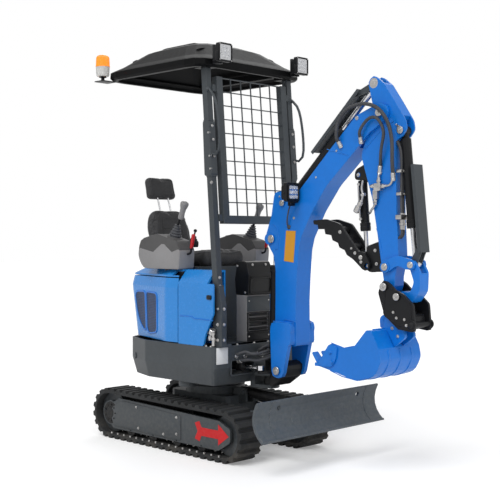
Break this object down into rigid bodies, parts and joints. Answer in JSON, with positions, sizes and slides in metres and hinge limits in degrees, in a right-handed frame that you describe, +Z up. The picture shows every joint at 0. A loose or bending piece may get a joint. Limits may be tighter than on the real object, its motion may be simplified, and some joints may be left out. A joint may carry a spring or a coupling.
{
  "type": "mini excavator",
  "caption": "Small tracked excavator with an open canopy seat, swing boom, arm, thumb and quick-coupled bucket, and a dozer blade in front.",
  "frame": {"origin": "middle of the footprint on the ground, under the whole machine", "axes": "+X forward towards the blade and bucket, +Y to the left, +Z up"},
  "size_m": [2.3459, 1.04, 2.484],
  "materials": {
    "blue_paint": "satin",
    "dark_grey_paint": "satin",
    "blade_paint": "satin",
    "black_paint": "satin",
    "chromed_rod": "polished",
    "cast_engine": "matte",
    "track_rubber": "matte",
    "hose_rubber": "matte",
    "seat_vinyl": "satin",
    "moulded_plastic": "matte",
    "grey_plastic": "matte",
    "red_plastic": "gloss",
    "amber_lens": "gloss"
  },
  "bodies": {
    "undercarriage": {"centre_frame": "dark_grey_paint", "slew_ring": "dark_grey_paint", "track_left": "track_rubber", "track_right": "track_rubber", "track_beam_left": "dark_grey_paint", "track_beam_right": "dark_grey_paint"},
    "blade": {"dozer_blade": "blade_paint"},
    "blade_cylinder_barrel": {"blade_cylinder_barrel": "black_paint"},
    "blade_cylinder_rod": {"blade_cylinder_rod": "chromed_rod"},
    "house": {"house_base": "dark_grey_paint", "engine_block": "cast_engine", "rear_cover": "blue_paint", "side_cover_left": "blue_paint", "side_cover_right": "blue_paint", "floor_plate": "dark_grey_paint", "seat_cushion": "seat_vinyl", "seat_back": "seat_vinyl", "headrest": "seat_vinyl", "console_left": "grey_plastic", "console_right": "grey_plastic", "joystick_left": "moulded_plastic", "joystick_right": "moulded_plastic", "safety_lever_left": "red_plastic", "safety_lever_right": "red_plastic", "canopy_post_left": "dark_grey_paint", "canopy_post_right": "dark_grey_paint", "front_console": "moulded_plastic", "front_column": "grey_plastic", "canopy_roof": "moulded_plastic", "front_guard": "dark_grey_paint", "work_lamp_left": "black_paint", "work_lamp_right": "black_paint", "beacon_base": "black_paint", "beacon_dome": "amber_lens"},
    "engine_door": {"engine_door": "blue_paint"},
    "swing_bracket": {"swing_bracket": "black_paint"},
    "swing_cylinder_barrel": {"swing_cylinder_barrel": "black_paint"},
    "swing_cylinder_rod": {"swing_cylinder_rod": "chromed_rod"},
    "boom": {"boom": "blue_paint", "boom_lamp": "black_paint", "hose_loop_outer": "hose_rubber", "hose_loop_inner": "hose_rubber"},
    "boom_cylinder_barrel": {"boom_cylinder_barrel": "black_paint"},
    "boom_cylinder_rod": {"boom_cylinder_rod": "chromed_rod"},
    "arm_cylinder_barrel": {"arm_cylinder_barrel": "black_paint"},
    "arm_cylinder_rod": {"arm_cylinder_rod": "chromed_rod", "arm_cylinder_guard": "dark_grey_paint"},
    "arm": {"arm": "blue_paint"},
    "bucket_cylinder_barrel": {"bucket_cylinder_barrel": "black_paint"},
    "bucket_cylinder_rod": {"bucket_cylinder_rod": "chromed_rod", "bucket_cylinder_guard": "dark_grey_paint"},
    "rocker": {"bucket_rocker_left": "blue_paint", "bucket_rocker_right": "blue_paint"},
    "bucket": {"quick_coupler": "black_paint", "bucket": "blue_paint"},
    "tipping_link": {"tipping_link": "blue_paint"},
    "thumb": {"thumb": "black_paint"},
    "thumb_cylinder_barrel": {"thumb_cylinder_barrel": "black_paint"},
    "thumb_cylinder_rod": {"thumb_cylinder_rod": "chromed_rod"}
  },
  "joints": [
    {"name": "blade_lift", "type": "hinge", "parent": "undercarriage", "child": "blade", "pos_m": [-0.08841, 0, 0.225], "axis": [0, -1, 0], "range_deg": [-34, 5]},
    {"name": "house_slew", "type": "hinge", "parent": "undercarriage", "child": "house", "pos_m": [-0.41841, 0, 0.432], "axis": [0, 0, 1], "continuous": true},
    {"name": "engine_door_hinge", "type": "hinge", "parent": "house", "child": "engine_door", "pos_m": [-0.97441, 0.227, 0.66], "axis": [0, 0, -1], "range_deg": [0, 75]},
    {"name": "boom_swing", "type": "hinge", "parent": "house", "child": "swing_bracket", "pos_m": [0.07159, 0, 0.445], "axis": [0, 0, 1], "range_deg": [-45, 55]},
    {"name": "boom_lift", "type": "hinge", "parent": "swing_bracket", "child": "boom", "pos_m": [0.21159, 0, 0.52], "axis": [0, -1, 0], "range_deg": [-54, 4]},
    {"name": "arm_crowd", "type": "hinge", "parent": "boom", "child": "arm", "pos_m": [0.91659, 0, 1.955], "axis": [0, 1, 0], "range_deg": [-80, 1], "deforming": ["hose_loop_outer", "hose_loop_inner"]},
    {"name": "bucket_curl", "type": "hinge", "parent": "arm", "child": "bucket", "pos_m": [0.96059, 0, 1.031], "axis": [0, 1, 0], "range_deg": [-52, 58]},
    {"name": "thumb_fold", "type": "hinge", "parent": "arm", "child": "thumb", "pos_m": [0.82659, 0, 1.138], "axis": [0, 1, 0], "range_deg": [-86, 0]},
    {"name": "blade_cylinder_pivot", "type": "hinge", "parent": "undercarriage", "child": "blade_cylinder_barrel", "pos_m": [-0.13341, 0, 0.35], "axis": [0, -1, 0], "range_deg": [-29.01, 4.28]},
    {"name": "blade_cylinder_stroke", "type": "slide", "parent": "blade_cylinder_barrel", "child": "blade_cylinder_rod", "axis": [0.9979, 0, -0.065], "range_m": [-0.0095, 0.0636]},
    {"name": "swing_cylinder_pivot", "type": "hinge", "parent": "house", "child": "swing_cylinder_barrel", "pos_m": [-0.35841, -0.19, 0.528], "axis": [0, 0, 1], "range_deg": [-1.49, 1.81]},
    {"name": "swing_cylinder_stroke", "type": "slide", "parent": "swing_cylinder_barrel", "child": "swing_cylinder_rod", "axis": [0.989, 0.1478, 0], "range_m": [-0.0872, 0.1065]},
    {"name": "boom_cylinder_pivot", "type": "hinge", "parent": "swing_bracket", "child": "boom_cylinder_barrel", "pos_m": [0.08659, 0, 0.562], "axis": [0, -1, 0], "range_deg": [-53.19, 3.95]},
    {"name": "boom_cylinder_stroke", "type": "slide", "parent": "boom_cylinder_barrel", "child": "boom_cylinder_rod", "axis": [0.0333, 0, 0.9994], "range_m": [-0.009, 0.1196]},
    {"name": "arm_cylinder_pivot", "type": "hinge", "parent": "boom", "child": "arm_cylinder_barrel", "pos_m": [0.21459, 0, 1.491], "axis": [0, 1, 0], "range_deg": [-0.04, 2.15]},
    {"name": "arm_cylinder_stroke", "type": "slide", "parent": "arm_cylinder_barrel", "child": "arm_cylinder_rod", "axis": [0.7181, 0, 0.6959], "range_m": [-0.2196, 0.0029]},
    {"name": "thumb_cylinder_pivot", "type": "hinge", "parent": "arm", "child": "thumb_cylinder_barrel", "pos_m": [0.75659, 0, 1.632], "axis": [0, 1, 0], "range_deg": [-0.01, 3.12]},
    {"name": "thumb_cylinder_stroke", "type": "slide", "parent": "thumb_cylinder_barrel", "child": "thumb_cylinder_rod", "axis": [0.0735, 0, -0.9973], "range_m": [-0.0001, 0.0763]},
    {"name": "rocker_turn", "type": "hinge", "parent": "arm", "child": "rocker", "pos_m": [0.95059, 0, 1.135], "axis": [0, 1, 0], "range_deg": [-33.99, 37.91]},
    {"name": "tipping_link_turn", "type": "hinge", "parent": "bucket", "child": "tipping_link", "pos_m": [1.04559, 0, 0.982], "axis": [0, 1, 0], "range_deg": [-36.58, 32.79]},
    {"name": "bucket_cylinder_pivot", "type": "hinge", "parent": "arm", "child": "bucket_cylinder_barrel", "pos_m": [1.04059, 0, 1.854], "axis": [0, 1, 0], "range_deg": [-0.22, 0.2]},
    {"name": "bucket_cylinder_stroke", "type": "slide", "parent": "bucket_cylinder_barrel", "child": "bucket_cylinder_rod", "axis": [0.1016, 0, -0.9948], "range_m": [-0.0916, 0.1021]}
  ],
  "couplings": [
    {"joint": "blade_cylinder_pivot", "follows": "blade_lift", "ratio": 0.85274},
    {"joint": "blade_cylinder_stroke", "follows": "blade_lift", "m_per_rad": -0.10693},
    {"joint": "swing_cylinder_pivot", "follows": "boom_swing", "ratio": 0.032676},
    {"joint": "swing_cylinder_stroke", "follows": "boom_swing", "m_per_rad": 0.11078},
    {"joint": "boom_cylinder_pivot", "follows": "boom_lift", "ratio": 0.9848},
    {"joint": "boom_cylinder_stroke", "follows": "boom_lift", "m_per_rad": -0.12679},
    {"joint": "arm_cylinder_pivot", "follows": "arm_crowd", "ratio": -0.026655},
    {"joint": "arm_cylinder_stroke", "follows": "arm_crowd", "m_per_rad": 0.15715},
    {"joint": "thumb_cylinder_pivot", "follows": "thumb_fold", "ratio": -0.036054},
    {"joint": "thumb_cylinder_stroke", "follows": "thumb_fold", "m_per_rad": -0.050728},
    {"joint": "rocker_turn", "follows": "bucket_curl", "ratio": 0.65332},
    {"joint": "tipping_link_turn", "follows": "bucket_curl", "ratio": -0.63036},
    {"joint": "bucket_cylinder_pivot", "follows": "bucket_curl", "ratio": -0.003503},
    {"joint": "bucket_cylinder_stroke", "follows": "bucket_curl", "m_per_rad": 0.10071}
  ]
}
